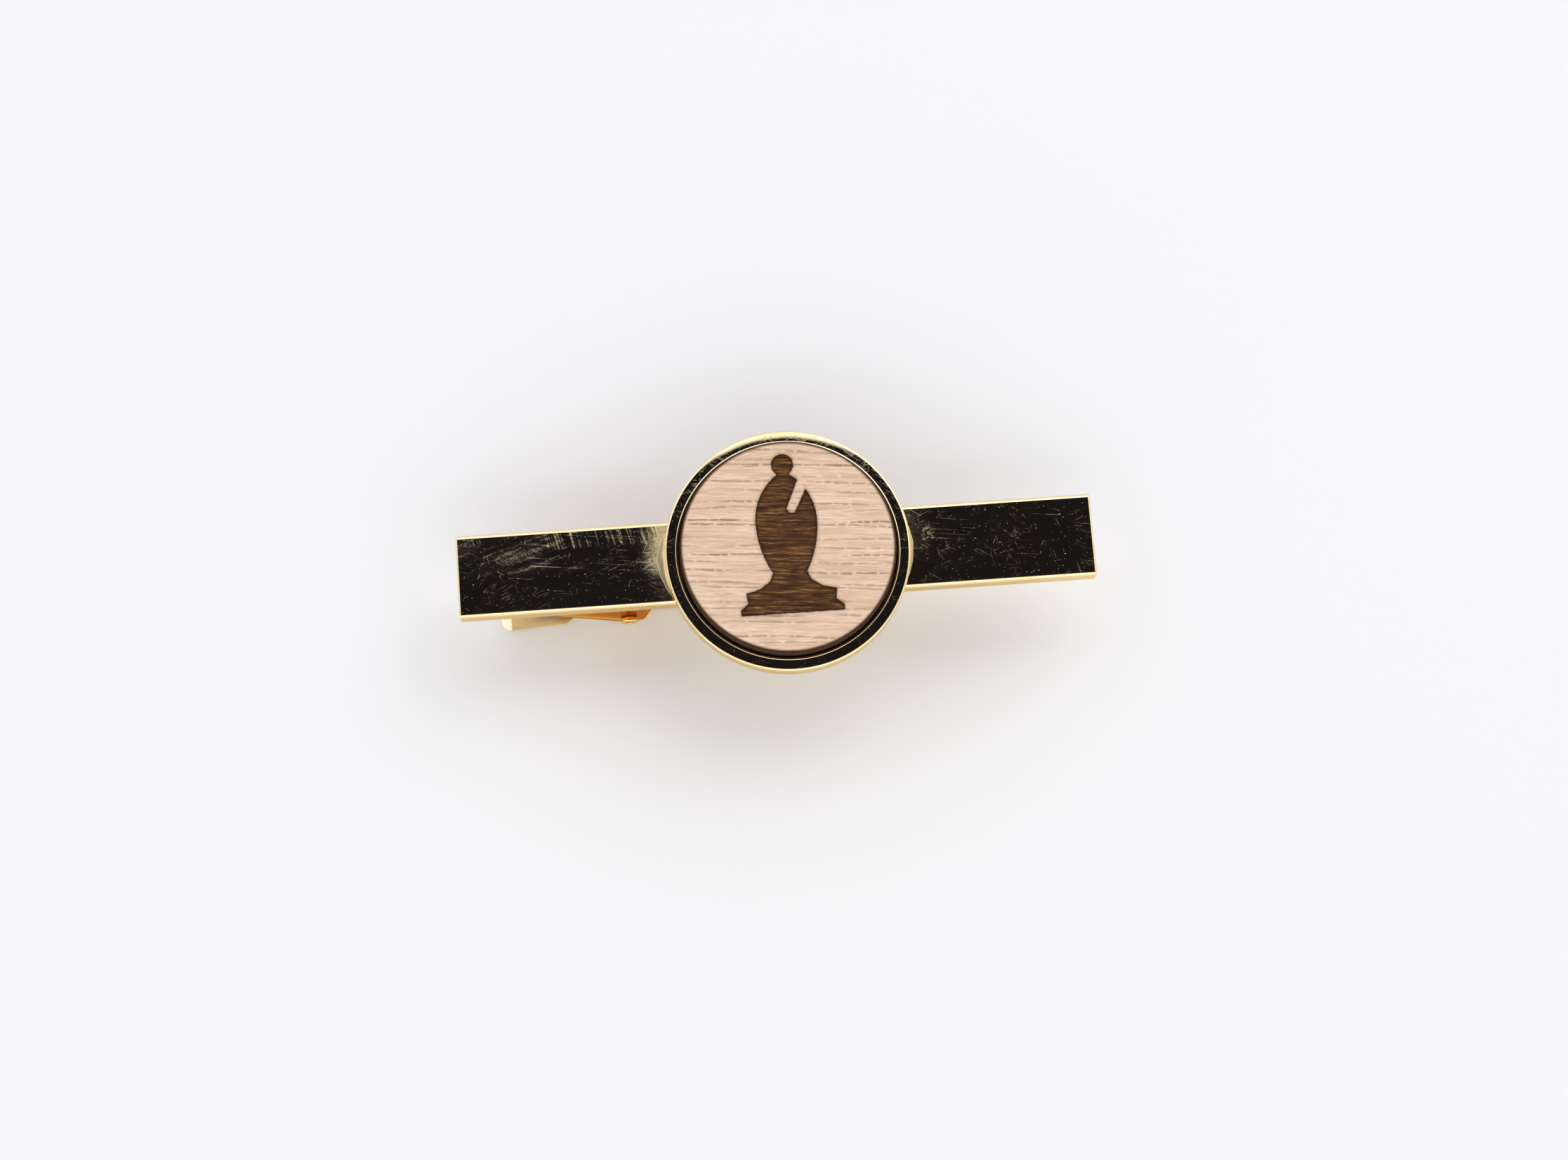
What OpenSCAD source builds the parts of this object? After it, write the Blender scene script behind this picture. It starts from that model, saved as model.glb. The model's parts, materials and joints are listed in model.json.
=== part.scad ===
// Tie clip: a flat bar with a round bezel on its face and a sprung alligator clip behind it.
// The bar runs along X, its face looks along +Z, and z = 0 is the lowest point of the closed clip.

/* [Bar] */
// Length of the bar
bar_l = 46.8; // [44:0.1:56]
// Width of the bar
bar_w = 6.2; // [5.8:0.1:7]
// Thickness of the bar
bar_t = 1.5; // [1.2:0.1:2]
// Radius along the long edges of the bar's face
edge_r = 0.3; // [0.1:0.05:0.4]
// Radius across the two ends of the bar's face
end_r = 0.15; // [0.05:0.05:0.3]

/* [Bezel] */
// Place of the bezel's axis along the bar, from the bar's middle
bezel_x = 0.8; // [-1:0.1:2]
// Outside diameter of the bezel cup
bezel_d = 18; // [17:0.5:19]
// Thickness of the rim's wall
rim_t = 0.95; // [0.6:0.05:1]
// Height of the rim above the cup's underside
rim_h = 1.5; // [1.2:0.1:2]
// Thickness of the cup's floor
floor_t = 0.4; // [0.3:0.05:0.6]
// Thickness of the solder between the cup and the bar
solder_t = 0.08; // [0.05:0.01:0.1]
// Reach of the solder fillet round the cup's foot
fillet = 0.3; // [0.2:0.05:0.4]

/* [Wood disc] */
// Diameter of the disc
disc_d = 15.75; // [14.5:0.05:15.85]
// Height of the disc's face above the rim
proud = 1.1; // [0.4:0.1:1.5]
// Thickness of the glue under the disc
glue_t = 0.1; // [0.05:0.05:0.2]
// Depth of the engraved chess bishop
engrave_t = 0.2; // [0.1:0.05:0.3]

/* [Clip base] */
// Distance of the hinge pin's axis from the bar's middle, towards the thumb tab
pin_back = 11.15; // [10.5:0.05:11.5]
// Drop of the hinge pin's axis below the bar's back
pin_drop = 4.6; // [4.3:0.1:4.8]
// Thickness of the base's sheet
base_t = 0.45; // [0.4:0.05:0.5]
// Width over the base's two ears
base_w = 5.3; // [5:0.05:5.5]
// Width of the base's strip under the jaw
strip_w = 4; // [3.6:0.1:4.4]
// Reach of the strip past the bar's middle, on the jaw side
strip_reach = 17.2; // [16.6:0.1:18]
// Radius of each ear round the pin
ear_r = 1.25; // [1.1:0.05:1.4]

/* [Clip lever] */
// Thickness of the lever's sheet
lever_t = 0.4; // [0.3:0.05:0.45]
// Width over the lever's two flanges
lever_w = 3.5; // [3.3:0.1:3.6]
// Width of the thumb tab at its end
tab_w = 5.8; // [5:0.1:6]
// Reach of the thumb tab from the pin
tab_reach = 9.6; // [9:0.1:9.8]
// Reach of the jaw from the pin
jaw_reach = 26.9; // [26:0.1:27.2]
// Drop of the lever's back below the pin's axis
back_drop = 1.6; // [1.6:0.05:1.8]
// Pitch of the teeth along the jaw's flanges
tooth_pitch = 0.7; // [0.6:0.05:0.9]
// Depth of the teeth
tooth_h = 0.3; // [0.2:0.05:0.35]

/* [Pin and spring] */
// Radius of the hinge pin
pin_r = 0.5; // [0.45:0.05:0.55]
// Radius of the pin's flared tubular ends
head_r = 0.62; // [0.6:0.01:0.7]
// Length of the pin over its flared ends
pin_l = 6; // [5.9:0.1:6.6]
// Radial clearance between the lever and the pin
pin_play = 0.05; // [0.02:0.01:0.09]
// Diameter of the spring's wire
wire_d = 0.36; // [0.3:0.02:0.4]
// Radius of the spring's coil, to the middle of the wire
coil_r = 0.9; // [0.85:0.01:0.92]

/* [Hidden] */
$fn = 96;
pin_x = -pin_back;
pin_z = back_drop;
bar_z = pin_z + pin_drop;          // the bar's back
face_z = bar_z + bar_t;            // the bar's face
cup_z = face_z + solder_t;         // underside of the bezel cup
disc_z = cup_z + floor_t + glue_t; // underside of the wood disc
disc_top = cup_z + rim_h + proud;
cup_chamfer = 0.15;
rim_out = 0.16;                    // chamfer outside the rim's top
rim_in = 0.1;                      // chamfer inside the rim's top
clip_film = 0.05;                  // solder between the bar and the clip's base
strip_z = bar_z - clip_film - base_t;
grip = strip_z - pin_z;            // height of the strip's gripping side over the pin
grip_gap = 0.03;                   // gap left between the closed teeth and the strip
ear_in = base_w / 2 - base_t;
flange_in = lever_w / 2 - lever_t;
ear_lean = 36;                     // slope of the ear's long edge, in degrees
ear_rake = 10;                     // lean of the ear's short edge, in degrees
web_mid = -back_drop + lever_t / 2;
tab_rise = 0.8;                    // how far the tab rises over the lever's back
lip_l = 0.85;                      // length of the tab's folded lip
lip_drop = 0.35;
shoulder = 4.75;                   // distance from the pin to the tab's shoulder
jaw_web = grip - 0.52;             // middle of the lever's sheet at the jaw's end

gold = [0.93, 0.72, 0.32];
pale_gold = [0.95, 0.8, 0.48];
steel = [0.75, 0.74, 0.72];
oak = [0.87, 0.76, 0.65];
glue = [0.8, 0.74, 0.6];

// The side view of the lever's sheet, as its middle line from the tab's lip to the jaw
lever_line = [
    [-tab_reach, web_mid + tab_rise - lip_drop],
    [-tab_reach + lip_l, web_mid + tab_rise],
    [-shoulder, web_mid + tab_rise / 2],
    [-2.2, web_mid],
    [1.2, web_mid],
    [jaw_reach - 0.3, jaw_web]
];

function unit(v) = v / norm(v);
function side(a, b) = unit([a[1] - b[1], b[0] - a[0]]);
function mitre(p, i) = let(
    a = i > 0 ? side(p[i - 1], p[i]) : side(p[0], p[1]),
    b = i < len(p) - 1 ? side(p[i], p[i + 1]) : a
) (a + b) / (1 + a * b);

// A band of thickness t that follows the line p
module ribbon(p, t) {
    upper = [for (i = [0:len(p) - 1]) p[i] + mitre(p, i) * t / 2];
    lower = [for (i = [len(p) - 1:-1:0]) p[i] - mitre(p, i) * t / 2];
    polygon(concat(upper, lower));
}

// Stands a drawing of the XZ plane, centred on the hinge pin, between y0 and y0 + t
module on_hinge(y0, t) {
    translate([pin_x, y0 + t, pin_z]) rotate([90, 0, 0]) linear_extrude(t) children();
}

// A ring or disc on the bezel's axis, from a profile of radius and height
module on_bezel(z) {
    translate([bezel_x, 0, z]) rotate_extrude($fn = 192) children();
}

module rounded_top(w, t, r) {
    translate([-w / 2, 0]) square([w, t - r]);
    translate([-w / 2 + r, 0]) square([w - 2 * r, t]);
    for (s = [-1, 1]) translate([s * (w / 2 - r), t - r]) circle(r);
}

module face_bar() {
    color(gold) translate([0, 0, bar_z]) intersection() {
        translate([-bar_l / 2, 0, 0]) rotate([90, 0, 90]) linear_extrude(bar_l)
            rounded_top(bar_w, bar_t, edge_r);
        translate([0, bar_w / 2, 0]) rotate([90, 0, 0]) linear_extrude(bar_w)
            rounded_top(bar_l, bar_t, end_r);
    }
}

module bezel_solder() {
    r = bezel_d / 2;
    color(pale_gold) intersection() {
        on_bezel(face_z) polygon([
            [0, 0], [r + fillet, 0], [r + fillet / 4, fillet / 3], [r, fillet + solder_t],
            [r, cup_chamfer + solder_t], [r - cup_chamfer, solder_t], [0, solder_t]
        ]);
        translate([-bar_l / 2, -bar_w / 2 + edge_r, 0])
            cube([bar_l, bar_w - 2 * edge_r, disc_top]);
    }
}

module bezel_cup() {
    r = bezel_d / 2;
    color(gold) on_bezel(cup_z) polygon([
        [0, 0], [r - cup_chamfer, 0], [r, cup_chamfer], [r, rim_h - rim_out], [r - rim_out, rim_h],
        [r - rim_t + rim_in, rim_h], [r - rim_t, rim_h - rim_in], [r - rim_t, floor_t], [0, floor_t]
    ]);
}

module disc_glue() {
    color(glue) translate([bezel_x, 0, cup_z + floor_t]) cylinder(h = glue_t, d = disc_d - 0.3);
}

// The bishop's body: two arcs a side, wide side arcs below belly_y and tighter ones above it
belly_w = 2.25;
belly_y = 1.9;
upper_arc = 4.35;
lower_arc = 7.7;
waist_y = -2;
neck_y = 5.4;
neck_w = 1;
ball_y = 6.14;
ball_r = 0.81;
slit = [[1.08, 5.1], [0.09, 2.8], [0.3, 2.51], [0.66, 2.51], [1.55, 4.2], [2.2, 5.4]];
half_foot = [
    [0, -4.95], [3.75, -4.95], [3.75, -4.5], [3.2, -4.05], [3.3, -3.3],
    [2.3, -3.05], [1.5, -2.5], [1.25, -1.9], [0, -1.9]
];
function belly(y) = let(r = y > belly_y ? upper_arc : lower_arc)
    belly_w - r + sqrt(r * r - (y - belly_y) * (y - belly_y));

module bishop() {
    steps = 24;
    ys = [for (i = [0:steps]) waist_y + (neck_y - waist_y) * i / steps];
    translate([0, ball_y]) circle(ball_r);
    difference() {
        union() {
            polygon(concat([for (y = ys) [belly(y), y]], [for (i = [steps:-1:0]) [-belly(ys[i]), ys[i]]]));
            translate([-neck_w / 2, neck_y - 0.2]) square([neck_w, 0.4]);
        }
        polygon(slit);
    }
    for (s = [0, 1]) mirror([s, 0]) polygon(half_foot);
}

module wood_disc() {
    color(oak) difference() {
        translate([bezel_x, 0, disc_z]) cylinder(h = disc_top - disc_z, d = disc_d, $fn = 192);
        translate([bezel_x, 0, disc_top - engrave_t]) linear_extrude(1) bishop();
    }
}

// Two round spots of solder hold the clip's base to the bar
solder_spots = [-6.5, 9];
spot_r = 1.7;
module clip_solder() {
    color(pale_gold) for (x = solder_spots)
        translate([x, 0, bar_z - clip_film]) cylinder(h = clip_film, r = spot_r);
}

// One ear of the base: a teardrop whose long edge runs up to the strip
module ear_outline() {
    top = grip + base_t / 2;
    foot = ear_r * [-sin(ear_lean), -cos(ear_lean)];
    heel = ear_r * [cos(ear_rake), -sin(ear_rake)];
    difference() {
        union() {
            circle(ear_r);
            polygon([
                foot, [0, 0], heel, [heel[0] + (top - heel[1]) * tan(ear_rake), top],
                [foot[0] - (top - foot[1]) / tan(ear_lean), top]
            ]);
        }
        circle(pin_r + 0.01);
    }
}

// The base's strip is wide over the hinge, and narrow with a round end under the jaw
wide_back = 7.75;
wide_front = 2.6;
module clip_base() {
    wide_start = pin_x - wide_back;
    wide_end = pin_x + wide_front;
    round_x = strip_reach - strip_w / 2;
    color(gold) {
        translate([0, 0, strip_z]) linear_extrude(base_t) union() {
            translate([wide_start, -base_w / 2]) square([wide_end - wide_start, base_w]);
            translate([wide_end - 1, -strip_w / 2]) square([round_x - wide_end + 1, strip_w]);
            translate([round_x, 0]) circle(strip_w / 2);
        }
        for (y0 = [-base_w / 2, ear_in]) on_hinge(y0, base_t) ear_outline();
    }
}

module hinge_pin() {
    half = pin_l / 2;
    neck = base_w / 2 + 0.02;
    hollow = 0.32;
    depth = 0.4;
    chamfer = 0.08;
    color(gold) translate([pin_x, 0, pin_z]) rotate([90, 0, 0]) rotate_extrude() polygon([
        [0, -half + depth], [hollow, -half + depth], [hollow, -half], [head_r - chamfer, -half],
        [head_r, -half + chamfer], [head_r, -neck], [pin_r, -neck], [pin_r, neck], [head_r, neck],
        [head_r, half - chamfer], [head_r - chamfer, half], [hollow, half], [hollow, half - depth],
        [0, half - depth]
    ]);
}

// The spring's wire: a leg on the tab, the coil round the pin, and a leg on the base's strip
coil_from = 266;
coil_to = 1860;
coil_step = 22.1;
coil_pitch = wire_d * 1.1;
leg_tab = 4.5;
leg_strip = 5.5;
function coil_y(a) = coil_pitch * ((a - coil_from) / 360 - (coil_to - coil_from) / 720);
function coil_at(a) = [coil_r * cos(a), coil_y(a), coil_r * sin(a)];
function coil_way(a) = [-sin(a), 0, cos(a)];
wire_line = concat(
    [coil_at(coil_from) - leg_tab * coil_way(coil_from)],
    [for (a = [coil_from:coil_step:coil_to]) coil_at(a)],
    [coil_at(coil_to), coil_at(coil_to) + leg_strip * coil_way(coil_to)]
);

function cross_unit(a, b) = unit(cross(a, b));
function ring(p, i, r, n) = let(
    t = unit(p[min(i + 1, len(p) - 1)] - p[max(i - 1, 0)]),
    u = cross_unit(t, [0, 1, 0]),
    v = cross(t, u)
) [for (k = [0:n - 1]) p[i] + r * (u * cos(360 * k / n) + v * sin(360 * k / n))];

// A round wire of radius r with n sides along the line p
module wire(p, r, n) {
    last = len(p) - 1;
    polyhedron(
        points = [for (i = [0:last]) each ring(p, i, r, n)],
        faces = concat(
            [[for (k = [0:n - 1]) k]],
            [for (i = [0:last - 1], k = [0:n - 1])
                [i * n + k, (i + 1) * n + k, (i + 1) * n + (k + 1) % n, i * n + (k + 1) % n]],
            [[for (k = [n - 1:-1:0]) last * n + k]]
        )
    );
}

module torsion_spring() {
    color(steel) translate([pin_x, 0, pin_z]) wire(wire_line, wire_d / 2, 8);
}

// The lever seen from its back: thumb tab, shoulders, and a parallel jaw
tip_cut = 0.3;        // corners cut off the jaw's end
tab_flare = 0.35;     // how much wider each side of the tab is at its end
shoulder_run = 1;     // length over which the shoulders widen
tab_corner_r = 0.9;
module lever_plan() {
    jaw = lever_w / 2;
    tab = tab_w / 2;
    for (m = [0, 1]) mirror([0, m])
        polygon([
            [jaw_reach, 0], [jaw_reach, jaw - tip_cut], [jaw_reach - tip_cut, jaw],
            [-shoulder + shoulder_run, jaw], [-shoulder, tab - tab_flare],
            [-tab_reach + tab_corner_r, tab], [-tab_reach, tab], [-tab_reach, 0]
        ]);
}

// What is cut off to round the tab's two corners
module tab_corners() {
    for (m = [0, 1]) mirror([0, m]) difference() {
        translate([-tab_reach - 1, tab_w / 2 - tab_corner_r]) square(tab_corner_r + 1);
        translate([-tab_reach + tab_corner_r, tab_w / 2 - tab_corner_r]) circle(tab_corner_r);
    }
}

// One flange of the lever: a round cheek at the pin and a long side with teeth at its end
teeth_l = 8;          // length of the toothed stretch
cheek_r = 1.2;
flange_top = [[-4.4, web_mid + tab_rise / 2], [-0.9, 0.8], [1.2, 0.9]];
module flange_outline() {
    tips = grip - grip_gap;
    first = jaw_reach - teeth_l;
    count = floor((teeth_l - 0.9) / tooth_pitch);
    edge = [for (i = [0:count - 1]) each [
        [first + i * tooth_pitch, tips - tooth_h], [first + (i + 0.5) * tooth_pitch, tips]
    ]];
    difference() {
        union() {
            circle(cheek_r);
            polygon(concat(
                flange_top,
                [[first - 0.6, tips - 0.7]],
                edge,
                [[first + count * tooth_pitch, tips - tooth_h], lever_line[5], lever_line[4], lever_line[3]]
            ));
        }
        circle(pin_r + pin_play);
    }
}

// The jaw's turned-up end, cut into teeth across its width
end_teeth = 5;
end_t = 0.45;         // thickness of the turned-up end
end_set = 0.1;        // how far it stands back from the jaw's tip
module jaw_teeth() {
    w = lever_w - 2 * tip_cut;
    pitch = w / end_teeth;
    tips = grip - grip_gap;
    foot = jaw_web - 0.1;
    translate([pin_x + jaw_reach - end_set - end_t, 0, pin_z]) rotate([90, 0, 90]) linear_extrude(end_t)
        polygon(concat(
            [[-w / 2, foot]],
            [for (i = [0:end_teeth - 1]) each [
                [-w / 2 + i * pitch, tips - tooth_h], [-w / 2 + (i + 0.5) * pitch, tips]
            ]],
            [[w / 2, tips - tooth_h], [w / 2, foot]]
        ));
}

module clip_lever() {
    color(gold) {
        intersection() {
            on_hinge(-tab_w, 2 * tab_w) ribbon(lever_line, lever_t);
            translate([pin_x, 0, -1]) linear_extrude(bar_z + 1) difference() {
                lever_plan();
                tab_corners();
            }
        }
        for (y0 = [-lever_w / 2, flange_in]) on_hinge(y0, lever_t) flange_outline();
        jaw_teeth();
    }
}

face_bar();
bezel_solder();
bezel_cup();
disc_glue();
wood_disc();
clip_solder();
clip_base();
hinge_pin();
torsion_spring();
clip_lever();
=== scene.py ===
import json
import math

import bmesh
import bpy
import numpy as np
from mathutils import Matrix, Vector


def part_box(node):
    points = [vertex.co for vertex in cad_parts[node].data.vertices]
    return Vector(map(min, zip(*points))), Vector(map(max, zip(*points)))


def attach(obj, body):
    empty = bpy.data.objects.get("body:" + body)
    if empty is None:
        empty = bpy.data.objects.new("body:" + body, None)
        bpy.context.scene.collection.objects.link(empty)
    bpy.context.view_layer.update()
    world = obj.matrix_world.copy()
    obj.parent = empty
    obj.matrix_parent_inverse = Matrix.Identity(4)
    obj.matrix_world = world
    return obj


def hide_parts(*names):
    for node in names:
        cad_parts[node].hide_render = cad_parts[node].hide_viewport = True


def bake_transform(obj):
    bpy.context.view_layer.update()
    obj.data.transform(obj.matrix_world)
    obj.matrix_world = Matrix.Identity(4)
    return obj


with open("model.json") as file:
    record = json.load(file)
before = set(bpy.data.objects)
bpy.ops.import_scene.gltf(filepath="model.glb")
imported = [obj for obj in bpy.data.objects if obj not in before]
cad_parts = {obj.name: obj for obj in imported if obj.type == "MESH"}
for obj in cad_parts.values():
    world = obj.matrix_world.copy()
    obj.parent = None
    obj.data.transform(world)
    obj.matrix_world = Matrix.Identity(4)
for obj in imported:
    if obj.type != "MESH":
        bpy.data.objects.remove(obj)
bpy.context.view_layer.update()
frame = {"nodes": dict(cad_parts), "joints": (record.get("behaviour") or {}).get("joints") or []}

print("frame loaded with", len(frame["nodes"]), "nodes")

# places come from the frame, in metres; shapes below are in millimetres
mm = 0.001
hinge = next(j for j in frame["joints"] if j["name"] == "lever_hinge")
pinAxis = np.array(hinge["pos_m"]) / mm
barLow, barHigh = (np.array(c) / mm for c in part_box("face_bar"))
cupLow, cupHigh = (np.array(c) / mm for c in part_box("bezel_cup"))
discLow, discHigh = (np.array(c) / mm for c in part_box("wood_disc"))
pinHigh = np.array(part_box("hinge_pin")[1]) / mm
leverLow = np.array(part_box("clip_lever")[0]) / mm
baseHigh = np.array(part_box("clip_base")[1]) / mm
cupRadius = cupHigh[1]
bezelX = cupHigh[0] - cupRadius

cameraSetup = {
    "place": (-7.87, -51.08, 228.29),
    "towards": (0.0366, 0.2175, -0.9754),
    "right": (0.997, -0.0746, 0.0208),
    "lens": 70.9,
    "sensor": 36.0,
    "clip": (0.01, 10),     # metres
}


# The camera looks along one line, and its right side is squared up against that line.
def makeCamera(setup):
    cam = bpy.data.cameras.new("camera")
    cam.lens = setup["lens"]
    cam.sensor_width = setup["sensor"]
    cam.clip_start, cam.clip_end = setup["clip"]
    ob = bpy.data.objects.new("camera", cam)
    back = -Vector(setup["towards"]).normalized()
    up = back.cross(Vector(setup["right"])).normalized()
    turn = Matrix((up.cross(back), up, back)).transposed().to_4x4()
    ob.matrix_world = Matrix.Translation(Vector(setup["place"]) * mm) @ turn
    bpy.context.collection.objects.link(ob)
    bpy.context.scene.camera = ob


makeCamera(cameraSetup)
print("camera placed")


weldStep = 1e-4     # millimetres


# Each patch is a grid of points in millimetres whose cells are quads. Points that fall on each other
# are joined by rounding them to a tenth of a micrometre, so that patches close up along shared edges,
# and a cell that runs into a pole becomes a triangle. Values ride along as point attributes.
def meshFromPatches(name, patches, values=None):
    points, quads, base = [], [], 0
    for grid, wrapRows, wrapCols in patches:
        rows, cols = grid.shape[:2]
        r = np.arange(rows if wrapRows else rows - 1)
        c = np.arange(cols if wrapCols else cols - 1)
        rr, cc = np.meshgrid(r, c, indexing="ij")
        nextRow, nextCol = (rr + 1) % rows, (cc + 1) % cols
        corners = [rr * cols + cc, rr * cols + nextCol, nextRow * cols + nextCol, nextRow * cols + cc]
        quads.append(np.stack(corners, -1).reshape(-1, 4) + base)
        points.append(grid.reshape(-1, 3))
        base += rows * cols
    points, quads = np.concatenate(points), np.concatenate(quads)
    spot = np.round(points / weldStep).astype(np.int64)
    _, first, which = np.unique(spot, axis=0, return_index=True, return_inverse=True)
    quads = which.reshape(-1)[quads]
    same = quads == np.roll(quads, -1, axis=1)
    whole = quads[same.sum(1) == 0]
    three = quads[same.sum(1) == 1]
    tris = three[~same[same.sum(1) == 1]].reshape(-1, 3)
    mesh = bpy.data.meshes.new(name)
    mesh.from_pydata((points[first] * mm).tolist(), [], whole.tolist() + tris.tolist())
    for key, value in (values or {}).items():
        layer = mesh.attributes.new(key, "FLOAT", "POINT")
        layer.data.foreach_set("value", value[first].astype(np.float32))
    ob = bpy.data.objects.new(name, mesh)
    bpy.context.collection.objects.link(ob)
    tidyNormals(ob)
    return ob


# All faces are turned to look outwards and shaded smooth.
def tidyNormals(ob):
    bm = bmesh.new()
    bm.from_mesh(ob.data)
    bmesh.ops.recalc_face_normals(bm, faces=bm.faces)
    bm.to_mesh(ob.data)
    bm.free()
    ob.data.polygons.foreach_set("use_smooth", np.ones(len(ob.data.polygons), bool))
    ob.data.update()


# A polygon whose corners become arcs of the given radii. A guard point stands just outside each end
# of an arc, so that smooth shading leaves the flats beside it flat.
def roundedOutline(corners, radii, steps=7, guard=0.02):
    corners = np.asarray(corners, float)
    out = []
    for i, (p, r) in enumerate(zip(corners, radii)):
        if r <= 0:
            out.append(p[None])
            continue
        a = corners[i - 1] - p
        b = corners[(i + 1) % len(corners)] - p
        a, b = a / np.linalg.norm(a), b / np.linalg.norm(b)
        half = math.acos(np.clip(a @ b, -1, 1)) / 2
        reach = r / math.tan(half)
        centre = p + (a + b) / np.linalg.norm(a + b) * r / math.sin(half)
        v0, v1 = p + a * reach - centre, p + b * reach - centre
        turn = math.pi - 2 * half
        t = np.linspace(0, 1, steps + 1)[:, None]
        arc = centre + (np.sin((1 - t) * turn) * v0 + np.sin(t * turn) * v1) / math.sin(turn)
        out += [(p + a * (reach + guard))[None], arc, (p + b * (reach + guard))[None]]
    return np.concatenate(out)


# Unit normals of a closed outline that runs anticlockwise, square to the chord of the neighbours.
def outlineNormals(loop):
    chord = np.roll(loop, -1, 0) - np.roll(loop, 1, 0)
    n = np.stack([chord[:, 1], -chord[:, 0]], -1)
    return n / np.linalg.norm(n, axis=1)[:, None]


# Radius and height pairs, turned once round the Z or Y axis through the centre.
def lathe(name, profile, centre, axis="z", segments=256):
    a = np.linspace(0, 2 * math.pi, segments, endpoint=False)[:, None]
    r, h = profile[:, 0][None], profile[:, 1][None] + 0 * a
    order = [r * np.cos(a), r * np.sin(a), h] if axis == "z" else [r * np.cos(a), h, r * np.sin(a)]
    return meshFromPatches(name, [(np.stack(order, -1) + np.asarray(centre), True, False)])


# A smooth step from 0 at the low end to 1 at the high end.
def ease(value, low, high):
    t = np.clip((value - low) / (high - low), 0, 1)
    return t * t * (3 - 2 * t)


# A material is a Principled shader whose sockets are fed by small chains of Math and noise nodes.
def startMaterial(name):
    mat = bpy.data.materials.new(name)
    mat.use_nodes = True
    tree = mat.node_tree
    tree.nodes.clear()
    out = tree.nodes.new("ShaderNodeOutputMaterial")
    shader = tree.nodes.new("ShaderNodeBsdfPrincipled")
    tree.links.new(shader.outputs[0], out.inputs[0])
    return mat, tree, shader


# A socket takes either another node's output or a plain value.
def feed(tree, socket, value):
    if isinstance(value, bpy.types.NodeSocket):
        tree.links.new(value, socket)
    else:
        socket.default_value = value


# One Math node: the operation on a, b and, where it takes three, c. MULTIPLY_ADD is a times b plus c.
def calc(tree, operation, a, b=0.0, c=0.0):
    n = tree.nodes.new("ShaderNodeMath")
    n.operation = operation
    for socket, value in zip(n.inputs, (a, b, c)):
        feed(tree, socket, value)
    return n.outputs[0]


# Colour a where the factor is 0 and b where it is 1. The kind MULTIPLY gives a times b at 1.
def blendColours(tree, factor, a, b, kind="MIX"):
    n = tree.nodes.new("ShaderNodeMix")
    n.data_type = "RGBA"
    n.blend_type = kind
    feed(tree, n.inputs[0], factor)
    for socket, value in ((n.inputs[6], a), (n.inputs[7], b)):
        feed(tree, socket, value if isinstance(value, bpy.types.NodeSocket) else (*value, 1))
    return n.outputs[2]


# A value between low and high is carried to between to0 and to1 along a smooth step, and held beyond.
def remap(tree, value, low, high, to0=0.0, to1=1.0):
    n = tree.nodes.new("ShaderNodeMapRange")
    n.interpolation_type = "SMOOTHSTEP"
    for socket, v in zip(n.inputs, (value, low, high, to0, to1)):
        feed(tree, socket, v)
    return n.outputs[0]


# A point attribute of the mesh, as a number.
def attribute(tree, name):
    n = tree.nodes.new("ShaderNodeAttribute")
    n.attribute_name = name
    return n.outputs["Fac"]


# Object coordinates turned about Z and then stretched, with the scale in features per millimetre.
def stretched(tree, scale, turn=0.0, shift=(0, 0, 0)):
    first = tree.nodes.new("ShaderNodeMapping")
    tree.links.new(tree.nodes.new("ShaderNodeTexCoord").outputs["Object"], first.inputs[0])
    first.inputs["Rotation"].default_value = (0, 0, turn)
    second = tree.nodes.new("ShaderNodeMapping")
    tree.links.new(first.outputs[0], second.inputs[0])
    second.inputs["Scale"].default_value = tuple(s / mm for s in scale)
    second.inputs["Location"].default_value = shift
    return second.outputs[0]


# Fractal noise over the stretched coordinates, which lies mostly between 0.3 and 0.7.
def noise(tree, scale, turn=0.0, shift=(0, 0, 0), detail=2.0, rough=0.5):
    n = tree.nodes.new("ShaderNodeTexNoise")
    tree.links.new(stretched(tree, scale, turn, shift), n.inputs["Vector"])
    n.inputs["Scale"].default_value = 1
    n.inputs["Detail"].default_value = detail
    n.inputs["Roughness"].default_value = rough
    return n.outputs[0]


# Small round spots in a share of the cells: 1 up to half the radius from a cell's centre, falling to 0
# at the radius.
def specks(tree, perMm, radius, share, turn=0.0):
    n = tree.nodes.new("ShaderNodeTexVoronoi")
    tree.links.new(stretched(tree, (perMm, perMm, perMm), turn), n.inputs["Vector"])
    n.inputs["Scale"].default_value = 1
    near = remap(tree, n.outputs["Distance"], radius, radius * 0.5)
    pick = tree.nodes.new("ShaderNodeSeparateColor")
    tree.links.new(n.outputs["Color"], pick.inputs[0])
    return calc(tree, "MULTIPLY", near, calc(tree, "LESS_THAN", pick.outputs[0], share))


# A normal tilted by the slope of the height, where a height of 1 stands for the distance in millimetres.
def bumped(tree, height, distance):
    n = tree.nodes.new("ShaderNodeBump")
    n.inputs["Strength"].default_value = 1
    n.inputs["Distance"].default_value = distance * mm
    feed(tree, n.inputs["Height"], height)
    return n.outputs[0]


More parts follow.
